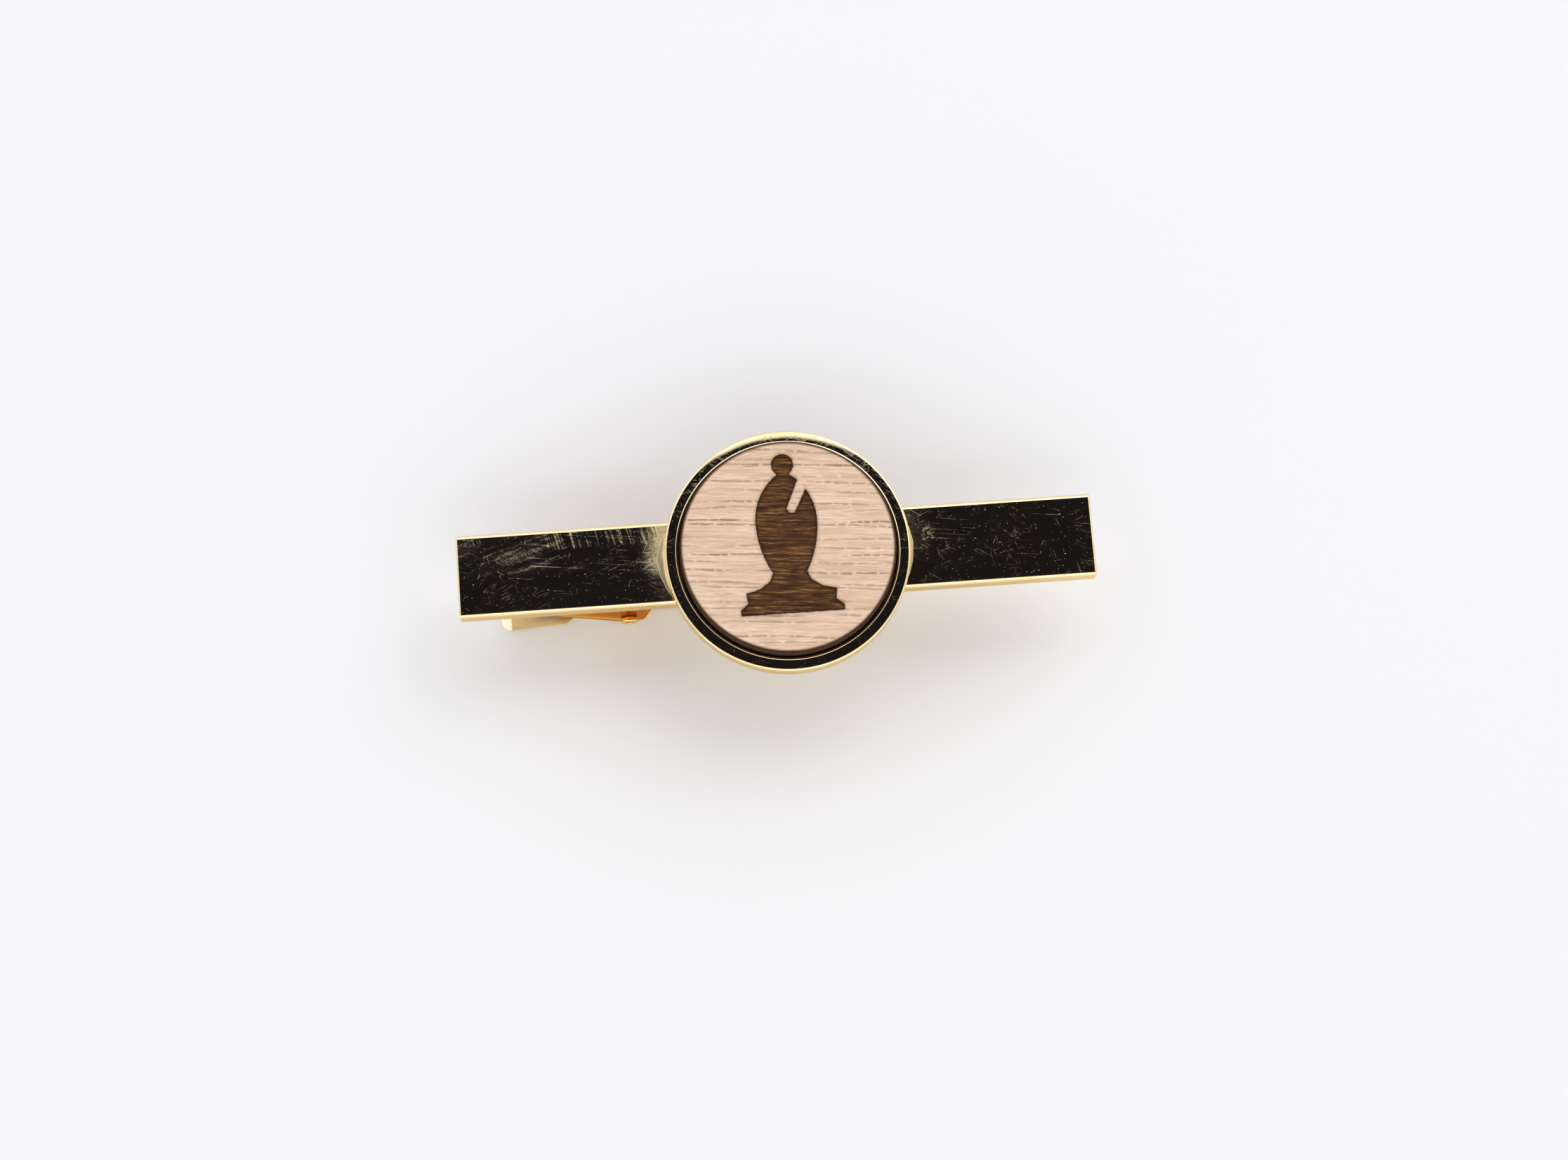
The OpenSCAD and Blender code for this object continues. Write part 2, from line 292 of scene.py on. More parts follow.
goldLook = {
    "polished": (0.93, 0.76, 0.46),
    "stamped": (0.93, 0.73, 0.38),
    "spring": (0.74, 0.73, 0.71),
    "deep": (0.97, 0.93, 0.82),         # the deeper tone, as shares of each colour
    "edgeTint": (0.95, 0.84, 0.62),     # what a grazing reflection is multiplied by
    "springTint": (1, 1, 1),
    "polishedRough": 0.025,
    "stampedRough": 0.16,
    "solderRough": 0.3,
    "stampedWear": 0.6,
    "hiddenWear": 0.5,
    "stampedDust": 0.4,
    "springDust": 0.2,
    "barDust": 1.4,
    # features per millimetre along and across, angle in radians, cut-off
    "scratches": ((0.15, 22, 0.12, 0.66), (0.5, 20, 0.6, 0.67), (0.5, 20, -0.4, 0.67),
                  (1.0, 18, 1.3, 0.69), (1.2, 18, -1.1, 0.69)),
    "scratchEdge": 0.05,
    "scratchGaps": (0.44, 0.62),
    "scratchRough": 0.2,
    "scratchDeep": -0.35,
    "cloud": {"scale": (0.5, 1.6, 1.6), "turn": 0.35, "range": (0.5, 0.85), "rough": 0.05},
    "dust": (0.8, 0.8, 0.78),
    # specks per millimetre, radius as a share of a cell, share of the cells, angle in radians
    "dustSizes": ((3.2, 0.085, 0.2, 0.0), (1.3, 0.05, 0.4, 0.7), (6.0, 0.12, 0.16, 0.3)),
    "dustRough": 0.5,
    "dustMetal": 0.9,                   # how much of the metal's shine a speck takes away
    "waves": 4.0,
    "reliefHeight": 0.0012,             # millimetres
}


# Fine scratches are the peaks of noises drawn out in five directions, and each comes and goes. Dust
# lies in round specks of three sizes. Extra haze is a map that a piece adds for its own worn places,
# and a tint is a map of where a second colour takes over.
def makeGold(name, colour, rough, wear=1.0, dusty=1.0, haze=None, tint=None, tintColour=None,
             edgeTint=goldLook["edgeTint"]):
    look = goldLook
    mat, tree, shader = startMaterial(name)
    scratches = 0.0
    for i, (along, across, turn, cut) in enumerate(look["scratches"]):
        drawn = noise(tree, (along, across, across), turn, (13 * i, 5 * i, 3 * i), 1)
        line = remap(tree, drawn, cut, cut + look["scratchEdge"])
        gaps = noise(tree, (0.5, 0.7, 0.7), turn, (3 * i, 7 * i, 11), 2)
        comes = remap(tree, gaps, *look["scratchGaps"])
        scratches = calc(tree, "MAXIMUM", scratches, calc(tree, "MULTIPLY", line, comes))
    cloud = look["cloud"]
    cloudy = remap(tree, noise(tree, cloud["scale"], cloud["turn"], (0, 0, 0), 5, 0.7), *cloud["range"])
    dust = 0.0
    for perMm, radius, share, turn in look["dustSizes"]:
        dust = calc(tree, "MAXIMUM", dust, specks(tree, perMm, radius, share * dusty, turn))

    deep = tuple(c * share for c, share in zip(colour, look["deep"]))
    base = blendColours(tree, remap(tree, noise(tree, (0.3, 0.3, 0.3)), 0.3, 0.7), deep, colour)
    if tint:
        base = blendColours(tree, tint(tree), base, tintColour)
    feed(tree, shader.inputs["Base Color"], blendColours(tree, dust, base, look["dust"]))

    roughness = calc(tree, "MULTIPLY_ADD", scratches, look["scratchRough"] * wear, rough)
    roughness = calc(tree, "MULTIPLY_ADD", cloudy, cloud["rough"] * wear, roughness)
    roughness = calc(tree, "MULTIPLY_ADD", dust, look["dustRough"], roughness)
    if haze:
        roughness = calc(tree, "ADD", roughness, haze(tree))
    feed(tree, shader.inputs["Metallic"], calc(tree, "MULTIPLY_ADD", dust, -look["dustMetal"], 1.0))
    shader.inputs["Specular Tint"].default_value = (*edgeTint, 1)
    feed(tree, shader.inputs["Roughness"], roughness)

    swell = noise(tree, (0.25, 0.5, 0.5), 0, (0, 0, 0), 1)
    relief = calc(tree, "MULTIPLY", swell, look["waves"])
    relief = calc(tree, "MULTIPLY_ADD", scratches, look["scratchDeep"], relief)
    feed(tree, shader.inputs["Normal"], bumped(tree, relief, look["reliefHeight"]))
    return mat


# One of the object coordinates in millimetres: 0 is X, 1 is Y and 2 is Z.
def place(tree, which):
    n = tree.nodes.new("ShaderNodeSeparateXYZ")
    tree.links.new(stretched(tree, (1, 1, 1)), n.inputs[0])
    return n.outputs[which]


# 1 between two limits of a coordinate and 0 further than the soft width outside them.
def between(tree, value, low, high, soft):
    rise = remap(tree, value, low - soft, low)
    return calc(tree, "MULTIPLY", rise, remap(tree, value, high + soft, high))


hazeLook = {
    "bezel": {"reach": 2.5, "start": 0.1, "rough": 0.48, "sideSoft": 2, "yRange": (-1.6, 0.4), "least": 0.3},
    "grain": {"scale": (5, 5, 5), "range": (0.35, 0.65), "least": 0.45},
    "fine": {"scale": (8, 8, 8), "range": (0.4, 0.58), "least": 0.35},
    # each spot's area is its least and greatest x and then y, in millimetres on the bar
    "streaks": {"area": (-23.4, -15, 0.2, 3.1), "soft": 1.5, "rough": 0.19,
                "scale": (0.25, 2.6, 2.6), "turn": -0.3, "range": (0.36, 0.7)},
    "hatch": {"area": (-16.5, -8.6, 1.7, 2.9), "soft": 0.6, "rough": 0.25,
              "scale": (6.2, 0.3, 0.3), "turn": -0.25, "range": (0.48, 0.62)},
    "smudge": {"area": (11.0, 11.6, 0.5, 1.6), "soft": 0.4, "rough": 0.28,
               "scale": (3.0, 3.0, 3.0), "turn": 0, "range": (0.4, 0.7)},
    "scuffs": {"area": (16.4, 18.6, -1.2, 2.4), "soft": 0.5, "rough": 0.2,
               "scale": (1.2, 4.0, 4.0), "turn": 0.8, "range": (0.55, 0.72)},
}


# The bar's worn places: flux haze round the bezel's foot that thins out with distance from its axis,
# slanting streaks at the left end, short marks that run in from the far edge, and scuffs on the right.
def barHaze(tree):
    bezel, grain, fine = hazeLook["bezel"], hazeLook["grain"], hazeLook["fine"]
    x, y = place(tree, 0), place(tree, 1)
    xSquare = calc(tree, "POWER", calc(tree, "SUBTRACT", x, bezelX), 2.0)
    fromAxis = calc(tree, "SQRT", calc(tree, "ADD", xSquare, calc(tree, "POWER", y, 2.0)))
    grainy = noise(tree, grain["scale"], 0, (0, 0, 0), 5, 0.8)
    grainy = remap(tree, grainy, *grain["range"], grain["least"], 1)
    finer = noise(tree, fine["scale"], 0, (6, 2, 9), 4, 0.8)
    finer = remap(tree, finer, *fine["range"], fine["least"], 1)
    far, near = cupRadius + bezel["reach"], cupRadius + bezel["start"]
    ring = remap(tree, fromAxis, far, near, 0, bezel["rough"])
    leftOnly = remap(tree, x, bezelX + bezel["sideSoft"], bezelX - bezel["sideSoft"], bezel["least"], 1)
    upper = remap(tree, y, *bezel["yRange"], bezel["least"], 1)
    haze = calc(tree, "MULTIPLY", ring, grainy)
    haze = calc(tree, "MULTIPLY", haze, calc(tree, "MULTIPLY", leftOnly, upper))
    for key in ("streaks", "hatch", "smudge", "scuffs"):
        spot = hazeLook[key]
        x0, x1, y0, y1 = spot["area"]
        inX = between(tree, x, x0, x1, spot["soft"])
        area = calc(tree, "MULTIPLY", inX, between(tree, y, y0, y1, spot["soft"] * 0.5))
        drawn = noise(tree, spot["scale"], spot["turn"], (2, 5, 8), 3, 0.6)
        drawn = remap(tree, drawn, *spot["range"], 0, spot["rough"])
        drawn = calc(tree, "MULTIPLY", drawn, finer)
        haze = calc(tree, "ADD", haze, calc(tree, "MULTIPLY", area, drawn))
    return haze


clipLook = {
    # painted reflection: the deep orange painted on the ears' outer faces, standing in for reflected shade
    # and gold
    "earReflectionPaint": (0.64, 0.22, 0.006),
    "baseGrazingTint": (1, 0.55, 0.14),
    "earSkin": (0.12, 0.04),        # millimetres in from the ear's face, where the painted reflection starts and is full
    "bandSlope": 36,                # degrees
    "bandRange": (-0.8, 0.3),       # millimetres from the pin's axis, square to the ear's slanting edge
    # painted highlight: the pale cream painted on the thumb tab, standing in for reflected light
    "tab": (1.0, 0.9, 0.66),
    "tabRange": (3.2, 5.8),         # millimetres from the pin's axis
    "tabRough": 0.18,
    "leverRough": 0.14,
}


# Painted reflection: the outer faces of the base's ears are painted deep orange, standing in for the shaded
# floor and the gold that they reflect, above an unpainted band along their edge. The height over the
# slanting edge is z cos slope + x sin slope, from the pin's axis.
def earPaintedReflection(tree):
    start, full = (baseHigh[1] - skin for skin in clipLook["earSkin"])
    outside = remap(tree, calc(tree, "ABSOLUTE", place(tree, 1)), start, full)
    slope = math.radians(clipLook["bandSlope"])
    x = calc(tree, "MULTIPLY", calc(tree, "SUBTRACT", place(tree, 0), pinAxis[0]), math.sin(slope))
    z = calc(tree, "SUBTRACT", place(tree, 2), pinAxis[2])
    inside = calc(tree, "MULTIPLY_ADD", z, math.cos(slope), x)
    return calc(tree, "MULTIPLY", outside, remap(tree, inside, *clipLook["bandRange"]))


# Painted highlight: the thumb tab is painted paler towards its end, standing in for the bright light that it
# reflects.
def tabPaintedHighlight(tree):
    start, full = (pinAxis[0] - away for away in clipLook["tabRange"])
    return remap(tree, place(tree, 0), start, full)


# The tab is satin where the highlight is painted.
def tabSatin(tree):
    return calc(tree, "MULTIPLY", tabPaintedHighlight(tree), clipLook["tabRough"])


rough, wear, dusty = goldLook["stampedRough"], goldLook["stampedWear"], goldLook["stampedDust"]
polishedGold = makeGold("polished gold", goldLook["polished"], goldLook["polishedRough"])
barGold = makeGold("polished bar gold", goldLook["polished"], goldLook["polishedRough"],
                   dusty=goldLook["barDust"], haze=barHaze)
stampedGold = makeGold("stamped gold", goldLook["stamped"], rough, wear, dusty)
# The base's ears carry a painted reflection in deep orange, and the base's grazing reflections are tinted
# orange.
baseGold = makeGold("stamped base gold", goldLook["stamped"], rough, wear, dusty, tint=earPaintedReflection,
                    tintColour=clipLook["earReflectionPaint"], edgeTint=clipLook["baseGrazingTint"])
# The lever's thumb tab carries a painted highlight in pale cream.
leverGold = makeGold("stamped lever gold", goldLook["stamped"], clipLook["leverRough"], wear, dusty,
                     haze=tabSatin, tint=tabPaintedHighlight, tintColour=clipLook["tab"])
wear = goldLook["hiddenWear"]
solderGold = makeGold("solder gold", goldLook["polished"], goldLook["solderRough"], wear, dusty)
springSteel = makeGold("spring steel", goldLook["spring"], rough, wear, goldLook["springDust"],
                       edgeTint=goldLook["springTint"])
print("metals made")


# A piece gets its material, rides on its body and stands in for its CAD node, which is hidden.
# A piece with no body is left without one.
def finishPiece(ob, body, node, material):
    ob.data.materials.append(material)
    if body:
        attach(ob, body)
    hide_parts(node)
    return ob


barShape = {
    "topEdge": 0.3,
    "backEdge": 0.14,
    "end": 0.14,
    "guard": 0.03,      # the last ring of the flats stands this far before the end's round
    "capRing": 0.95,    # size of a ring inside each end cap, as a share of the cap
    "arcSteps": 8,
    "endSteps": 6,
}


# The bar's rounded cross-section is carried along X. Near each end it shrinks along its normals by
# r - r cos t while it moves out by r sin t, and a flat cap closes it.
def makeBar(shape):
    w, thick, half, r = barHigh[1], barHigh[2] - barLow[2], barHigh[0], shape["end"]
    radii = [shape["backEdge"], shape["backEdge"], shape["topEdge"], shape["topEdge"]]
    loop = roundedOutline([(-w, 0), (w, 0), (w, thick), (-w, thick)], radii, shape["arcSteps"])
    t = np.linspace(0, math.pi / 2, shape["endSteps"])
    xs = np.concatenate([[0, half - r - shape["guard"]], half - r + r * np.sin(t)])
    inset = np.concatenate([[0, 0], r - r * np.cos(t)])
    section = loop[None] - outlineNormals(loop)[None] * inset[:, None, None]
    rings = np.concatenate([np.broadcast_to(xs[:, None, None], section.shape[:2] + (1,)), section], -1)
    middle = np.array([half, 0, thick / 2])
    cap = middle + (rings[-1] - middle) * np.array([shape["capRing"], 0.0])[:, None, None]
    side = np.concatenate([rings, cap])
    points = np.concatenate([side[:0:-1] * [-1, 1, 1], side]) + [0, 0, barLow[2]]
    return meshFromPatches("polished_bar", [(points, False, True)])


finishPiece(makeBar(barShape), "bar", "face_bar", barGold)
print("bar made")


bezelShape = {
    "wall": 0.95,
    "floor": 0.4,
    "outerEdge": 0.2,
    "foot": 0.15,
    "fall": 0.05,
    "bead": 0.07,
    "beadRise": 0.02,
    "insideFoot": 0.1,
    "guard": 0.02,
    "segments": 320,
}


# A cup turned from its section: floor, wall, and a rim that falls slightly outwards and has a small
# half-round bead along its inner edge.
def makeBezel(shape):
    r, h = cupRadius, cupHigh[2] - cupLow[2]
    inner, guard = r - shape["wall"], shape["guard"]
    low = h - shape["beadRise"]
    t = np.linspace(0, math.pi, 13)
    bead = np.stack([inner + shape["bead"] * (1 + np.cos(t)), low + shape["beadRise"] * np.sin(t)], -1)
    corners = [(0, 0), (r, 0), (r, low - shape["fall"]), (inner + 2 * shape["bead"] + guard, low)]
    outside = roundedOutline(corners, [0, shape["foot"], shape["outerEdge"], 0], 7)
    corners = [(inner, low - guard), (inner, shape["floor"]), (0, shape["floor"])]
    inside = roundedOutline(corners, [0, shape["insideFoot"], 0], 5)
    profile = np.concatenate([outside, bead, inside])
    return lathe("bezel_rim", profile, (bezelX, 0, cupLow[2]), segments=shape["segments"])


finishPiece(makeBezel(bezelShape), "bar", "bezel_cup", polishedGold)


solderShape = {
    "leftReach": 0.5,
    "rightReach": 0.25,
    "height": 0.2,
    "sideways": 2.7,
    "into": 0.25,
    "hollow": 2.6,      # power by which the height falls with reach
    "film": 0.004,
    "sunk": 0.02,
}


# A solder fillet beside the bezel's foot: each cross-section runs out from the foot by its reach and
# falls in a concave curve, and reach and height die away towards the bar's edges. Its outer edge
# wavers by two sines, and its back lies just inside the bar.
def makeSolder(shape):
    across = np.linspace(-1, 1, 61)[:, None]
    s = np.linspace(0, 1, 19)[None]
    patches = []
    for side, reach in ((-1, shape["leftReach"]), (1, shape["rightReach"])):
        y = across * shape["sideways"]
        fade = np.sqrt(np.clip(1 - np.abs(across) ** 3, 0, 1))
        uneven = 1 + 0.12 * np.sin(5 * across + 1) + 0.06 * np.sin(13 * across)
        foot = np.sqrt(cupRadius ** 2 - y ** 2) - shape["into"]
        out = foot + (shape["into"] + reach * fade * uneven) * s * fade
        high = shape["height"] * fade * (1 - s) ** shape["hollow"] + shape["film"]
        top = np.stack([bezelX + side * out, y + 0 * s, barHigh[2] + high * (s < 1)], -1)
        under = np.stack([bezelX + side * out, y + 0 * s, barHigh[2] - shape["sunk"] + 0 * out], -1)
        patches.append((np.concatenate([top, under[:, ::-1]], 1), False, True))
    return meshFromPatches("bezel_solder_fillet", patches)


finishPiece(makeSolder(solderShape), "bar", "bezel_solder", solderGold)
frame["nodes"]["clip_solder"].data.materials[0] = solderGold


glueLook = {
    "thin": (0.83, 0.76, 0.6),
    "thick": (0.71, 0.58, 0.38),
    "rough": (0.3, 0.55),       # where it is thick and where it is thin
    "clouds": 0.7,              # per millimetre
}


# Dried glue: a cloudy amber film, duller where it is thin.
def makeGlue(look):
    mat, tree, shader = startMaterial("dried glue")
    cloud = remap(tree, noise(tree, (look["clouds"],) * 3, 0, (4, 1, 2), 4, 0.6), 0.35, 0.65)
    feed(tree, shader.inputs["Base Color"], blendColours(tree, cloud, look["thin"], look["thick"]))
    low, high = look["rough"]
    feed(tree, shader.inputs["Roughness"], calc(tree, "MULTIPLY_ADD", cloud, low - high, high))
    return mat


frame["nodes"]["disc_glue"].data.materials[0] = makeGlue(glueLook)
print("bezel, solder and glue made")


woodLook = {
    "pale": (0.86, 0.66, 0.50),
    "warm": (0.64, 0.43, 0.29),
    "pore": (0.19, 0.11, 0.07),
    "char": (0.105, 0.042, 0.011),
    "charDark": (0.034, 0.014, 0.006),
    "charPale": (0.42, 0.23, 0.08),
    "edge": (0.06, 0.028, 0.013),
    "grainTurn": -0.085,            # radians from the bar's length
    "porePaint": 0.85,
    "charPorePaint": 0.7,
    "outline": (-0.22, -0.03, 0.75),    # millimetres from the outline, and how dark
    "soot": (0.28, 0.45),               # reach in millimetres, and how dark
    "charEdge": 0.02,
    "burntEdge": (0.3, 0.06),           # millimetres in from the disc's side
    "roughness": (0.62, 0.82),
    "shine": 0.15,
    "bump": 0.03,
}

discShape = {
    "cells": 262,
    "seed": 11,
    "cut": 0.2,             # depth of the engraving
    "cutEdge": 0.035,
    "ragged": 0.012,
    "flatRim": 0.12,        # the relief fades out over this width at the top's edge
    "roll": 0.1,
    "rollSteps": 6,
    "sideRings": 4,
    "backStep": 0.1,
}

grainShape = {
    "poreSpace": 0.66,
    "poreJitter": 0.22,
    "poreDeep": 0.035,
    "poreWidth": (0.06, 0.018),         # its mean, and how far it swells and thins
    "wander": (0.07, 0.012),            # how far a pore strays in long and in short waves
    "ticks": 46,
    "tickLong": (0.25, 1.1),
    "tickThin": (0.03, 0.05),
    "tickStrength": (0.2, 0.5),
    "tickBend": 0.03,
    "fibreDeep": (0.018, 0.0025),       # in the charred pocket and on bare wood
}

bishopShape = {
    "ball": (0, 6.14, 0.81),
    "neck": (0.5, 5.0, 6.0),
    "widest": (2.25, 1.9), "curveUp": 4.35, "curveDown": 7.7, "bodySpan": (-2.3, 5.4),
    "slit": ((1.08, 5.1), (0.09, 2.8), (0.3, 2.51), (0.66, 2.51), (1.55, 4.2), (2.4, 5.8)),
    "foot": ((0, -4.95), (3.75, -4.95), (3.75, -4.5), (3.2, -4.05), (3.3, -3.3), (2.3, -3.05),
             (1.5, -2.5), (1.25, -1.9), (0, -1.7)),
}


# Distance in millimetres from a point to a closed polygon, negative inside: the nearest point of
# each edge by projection, and the sign by counting the edges that a line to the right crosses.
def polygonDistance(x, y, corners):
    p = np.stack([x, y], -1)[:, None]
    a = np.asarray(corners, float)[None]
    b = np.roll(a, -1, 1)
    t = np.clip(((p - a) * (b - a)).sum(-1) / ((b - a) ** 2).sum(-1), 0, 1)
    near = np.linalg.norm(p - a - (b - a) * t[..., None], axis=-1).min(1)
    spans = (a[..., 1] > p[..., 1]) != (b[..., 1] > p[..., 1])
    rise = np.where(b[..., 1] == a[..., 1], 1, b[..., 1] - a[..., 1])
    hits = spans & (p[..., 0] < a[..., 0] + (b[..., 0] - a[..., 0]) * (p[..., 1] - a[..., 1]) / rise)
    return np.where(hits.sum(1) % 2 == 1, -near, near)


# The bishop is a ball, a neck, a barrel-shaped body with a slit cut from it, and a stepped foot. Its
# distance is the least of theirs, and the barrel's half width falls off as a circle's arc does.
def bishopDistance(x, y, shape):
    ballX, ballY, ballR = shape["ball"]
    ball = np.hypot(x - ballX, y - ballY) - ballR
    half, low, high = shape["neck"]
    neck = polygonDistance(x, y, [(-half, low), (half, low), (half, high), (-half, high)])
    wide, level = shape["widest"]
    height = np.linspace(*shape["bodySpan"], 40)
    bend = np.where(height > level, shape["curveUp"], shape["curveDown"])
    width = wide - bend + np.sqrt(bend ** 2 - (height - level) ** 2)
    outline = np.concatenate([np.stack([width, height], -1), np.stack([-width, height], -1)[::-1]])
    body = polygonDistance(x, y, outline)
    body = np.maximum(body, -polygonDistance(x, y, shape["slit"]))
    right = np.array(shape["foot"])
    foot = polygonDistance(x, y, np.concatenate([right, right[-2:0:-1] * [-1, 1]]))
    return np.minimum.reduce([ball, neck, body, foot])


# A sum of waves with seeded lengths and phases, scaled to lie mostly between -1 and 1.
def waves(rng, x, count, lowest, highest):
    total = 0 * x
    for _ in range(count):
        total = total + np.sin(x * rng.uniform(lowest, highest) + rng.uniform(0, 2 * math.pi))
    return total / math.sqrt(count)


# Square-to-disc grid: a point's larger coordinate is its radius, and the ratio of the two gives its
# angle. It returns x, y and the radius of each point.
def discGrid(radius, cells):
    t = np.linspace(-1, 1, cells + 1)
    a, b = np.meshgrid(t, t, indexing="ij")
    wide = np.abs(a) > np.abs(b)
    reach = np.where(wide, a, b)
    ratio = np.where(wide, b, a) / np.where(reach == 0, 1, reach)
    angle = np.where(wide, math.pi / 4 * ratio, math.pi / 2 - math.pi / 4 * ratio)
    return radius * reach * np.cos(angle), radius * reach * np.sin(angle), np.abs(reach) * radius


# A pore is a bell-shaped groove along the grain, exp -(distance / width) squared, that strays, swells
# and breaks off by seeded waves. Short straight ticks lie between the pores.
def woodPores(rng, along, over, radius, shape):
    pore = 0 * along
    longWander, shortWander = shape["wander"]
    mean, swell = shape["poreWidth"]
    for centre in np.arange(-radius, radius, shape["poreSpace"]):
        centre += rng.uniform(-shape["poreJitter"], shape["poreJitter"])
        wander = longWander * waves(rng, along, 3, 0.2, 0.9) + shortWander * waves(rng, along, 3, 3, 9)
        strength = ease(waves(rng, along, 4, 0.3, 1.2), -1.5, 0.2) * rng.uniform(0.5, 1)
        breaks = ease(waves(rng, along, 4, 3, 12), -1.3, -0.3)
        width = mean + swell * waves(rng, along, 3, 1, 4)
        line = np.exp(-((over - centre - wander) / width) ** 2)
        pore = np.maximum(pore, line * strength * breaks)
    for _ in range(shape["ticks"]):
        cx, cy = rng.uniform(-radius, radius, 2)
        long, thin = rng.uniform(*shape["tickLong"]), rng.uniform(*shape["tickThin"])
        bend = shape["tickBend"] * np.sin(along + cx)
        tick = np.exp(-((along - cx) / long) ** 4 - ((over - cy - bend) / thin) ** 2)
        pore = np.maximum(pore, tick * rng.uniform(*shape["tickStrength"]))
    return pore


# Heights are sunk inside the bishop, along the pores and by the fibre's waves. A skirt rolls over the
# top edge, runs down the burnt side and closes underneath. The mark is the distance to the bishop's
# outline, and rimSpace is the distance to the disc's side.
def makeDisc(shape, grain):
    rng = np.random.default_rng(shape["seed"])
    radius, roll = (discHigh[0] - discLow[0]) / 2, shape["roll"]
    flat = radius - roll
    x, y, fromAxis = discGrid(flat, shape["cells"])
    mark = bishopDistance(x.ravel(), y.ravel(), bishopShape).reshape(x.shape)
    turn = woodLook["grainTurn"]
    along = x * math.cos(turn) + y * math.sin(turn)
    over = y * math.cos(turn) - x * math.sin(turn)
    pore = woodPores(rng, along, over, radius, grain)
    mark = mark + shape["ragged"] * waves(rng, over * 7 + along * 3, 5, 1, 4)
    pocket = ease(mark, shape["cutEdge"], -shape["cutEdge"])
    fibre = waves(rng, over, 6, 18, 55) * waves(rng, along + over * 3, 3, 0.6, 2)
    inPocket, onWood = grain["fibreDeep"]
    sink = shape["cut"] * pocket + grain["poreDeep"] * pore * (1 - 0.5 * pocket)
    sink = sink + pocket * inPocket * (fibre + 1) + (1 - pocket) * onWood * (fibre + 1)
    rimFade = ease(fromAxis, flat, flat - shape["flatRim"])
    top = np.stack([bezelX + x, y, discHigh[2] - sink * rimFade], -1)

    ring = np.concatenate([top[:-1, 0], top[-1, :-1], top[:0:-1, -1], top[0, :0:-1]])
    outward = (ring[:, :2] - [bezelX, 0]) / flat
    bend = np.linspace(0, math.pi / 2, shape["rollSteps"])
    sides, step = shape["sideRings"], shape["backStep"]
    rs = np.concatenate([flat + roll * np.sin(bend), np.full(sides, radius), [radius - step, 0]])
    down = np.linspace(discHigh[2] - roll, discLow[2] + step, sides + 1)[1:]
    zs = np.concatenate([discHigh[2] - roll + roll * np.cos(bend), down, [discLow[2]] * 2])
    skirt = np.stack([bezelX + rs[:, None] * outward[:, 0], rs[:, None] * outward[:, 1],
                      zs[:, None] + 0 * outward[:, 0]], -1)
    skirt[0] = ring
    zero = np.zeros(skirt.shape[:2])
    values = {"mark": (mark, zero + 5), "pore": (pore, zero), "rimSpace": (radius - fromAxis, zero)}
    values = {k: np.concatenate([v[0].ravel(), v[1].ravel()]) for k, v in values.items()}
    return meshFromPatches("engraved_oak_disc", [(top, False, False), (skirt, False, True)], values)


# Pale oak with brown pores. Inside the bishop the wood is charred, darkest along the outline, with
# paler streaks of grain; a little soot lies outside it, and the sawn side is burnt.
def makeWood(look):
    mat, tree, shader = startMaterial("oak")
    turn = -look["grainTurn"]
    mark, pore = attribute(tree, "mark"), attribute(tree, "pore")
    streak = noise(tree, (0.25, 7, 7), turn, (0, 0, 0), 4, 0.65)
    fine = noise(tree, (1.1, 22, 22), turn, (3, 8, 1), 3, 0.6)
    broad = noise(tree, (0.12, 0.7, 0.7), turn, (5, 2, 0), 2)
    tone = calc(tree, "MULTIPLY_ADD", fine, 0.5, calc(tree, "MULTIPLY", streak, 0.5))
    wood = blendColours(tree, remap(tree, tone, 0.38, 0.62), look["warm"], look["pale"])
    wood = blendColours(tree, remap(tree, broad, 0.3, 0.7, 0, 0.35), wood, look["warm"])
    wood = blendColours(tree, calc(tree, "MULTIPLY", pore, look["porePaint"]), wood, look["pore"])

    charTone = noise(tree, (0.6, 9, 9), turn, (9, 1, 4), 5, 0.7)
    char = blendColours(tree, remap(tree, charTone, 0.38, 0.56), look["charDark"], look["char"])
    char = blendColours(tree, remap(tree, charTone, 0.52, 0.74), char, look["charPale"])
    char = blendColours(tree, calc(tree, "MULTIPLY", pore, look["charPorePaint"]), char, look["charDark"])
    inner, outer, darkest = look["outline"]
    char = blendColours(tree, remap(tree, mark, inner, outer, 0, darkest), char, look["charDark"])
    reach, darkest = look["soot"]
    soot = remap(tree, mark, reach, 0.0, 0, darkest)
    soot = calc(tree, "MULTIPLY", soot, remap(tree, fine, 0.35, 0.65))
    wood = blendColours(tree, soot, wood, look["char"])
    colour = blendColours(tree, remap(tree, mark, look["charEdge"], -look["charEdge"]), wood, char)

    burnt = remap(tree, attribute(tree, "rimSpace"), *look["burntEdge"])
    side = blendColours(tree, remap(tree, charTone, 0.35, 0.65), look["charDark"], look["edge"])
    colour = blendColours(tree, burnt, colour, side)
    feed(tree, shader.inputs["Base Color"], colour)
    feed(tree, shader.inputs["Roughness"], remap(tree, tone, 0.3, 0.7, *look["roughness"]))
    shader.inputs["Specular IOR Level"].default_value = look["shine"]
    feed(tree, shader.inputs["Normal"], bumped(tree, tone, look["bump"]))
    return mat


finishPiece(makeDisc(discShape, grainShape), "bar", "wood_disc", makeWood(woodLook))
print("oak disc made")


pinShape = {
    "shank": 0.5,
    "head": 0.62,
    "headLong": 0.34,
    "hollow": 0.32,
    "hollowDeep": 0.3,
    "rounds": (0, 0.04, 0.06, 0.1, 0.03, 0.03),     # from the hollow's middle out to the shank
    "guard": 0.01,
}


